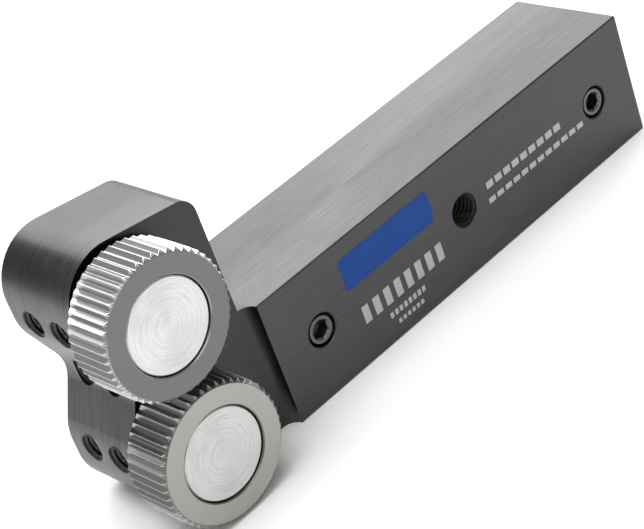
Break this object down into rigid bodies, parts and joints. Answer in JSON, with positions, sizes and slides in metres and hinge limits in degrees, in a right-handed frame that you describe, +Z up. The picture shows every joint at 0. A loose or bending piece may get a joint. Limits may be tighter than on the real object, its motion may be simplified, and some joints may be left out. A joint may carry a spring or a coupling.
{
  "type": "knurling tool holder",
  "caption": "Square-shank lathe holder with a two-lobed head carrying twin straight-toothed knurling wheels on headed pins.",
  "frame": {"origin": "middle of the shank's underside, where it rests in a tool post", "axes": "+X along the shank towards the knurling wheels, +Y towards the side the wheels stand on, +Z up; the wheels straddle a plane 0.6 mm above the shank's top"},
  "size_m": [0.104, 0.0271, 0.0409],
  "materials": {
    "blackened_steel": "ground and blackened",
    "knurl_steel": "ground",
    "turned_pin": "fine turned",
    "washer_steel": "satin",
    "screw_steel": "black oxide",
    "blue_plate": "gloss enamel"
  },
  "bodies": {
    "holder": {"holder_body": "blackened_steel", "marking_plate": "blue_plate", "upper_axle_pin": "turned_pin", "lower_axle_pin": "turned_pin", "upper_thrust_washer": "washer_steel", "lower_thrust_washer": "washer_steel", "upper_axle_screw_inboard": "screw_steel", "upper_axle_screw_outboard": "screw_steel", "lower_axle_screw_inboard": "screw_steel", "lower_axle_screw_outboard": "screw_steel", "coolant_jet_inboard": "screw_steel", "coolant_jet_outboard": "screw_steel", "near_front_port_plug": "screw_steel", "near_rear_port_plug": "screw_steel", "far_front_port_plug": "screw_steel", "far_middle_port_plug": "screw_steel", "far_rear_port_plug": "screw_steel", "rear_end_plug": "screw_steel"},
    "upper_wheel": {"upper_knurl_wheel": "knurl_steel"},
    "lower_wheel": {"lower_knurl_wheel": "knurl_steel"}
  },
  "joints": [
    {"name": "upper_wheel_spin", "type": "hinge", "parent": "holder", "child": "upper_wheel", "pos_m": [0.0554, 0.012, 0.03095], "axis": [0, 1, 0], "continuous": true},
    {"name": "lower_wheel_spin", "type": "hinge", "parent": "holder", "child": "lower_wheel", "pos_m": [0.0554, 0.012, 0.01025], "axis": [0, 1, 0], "continuous": true}
  ]
}
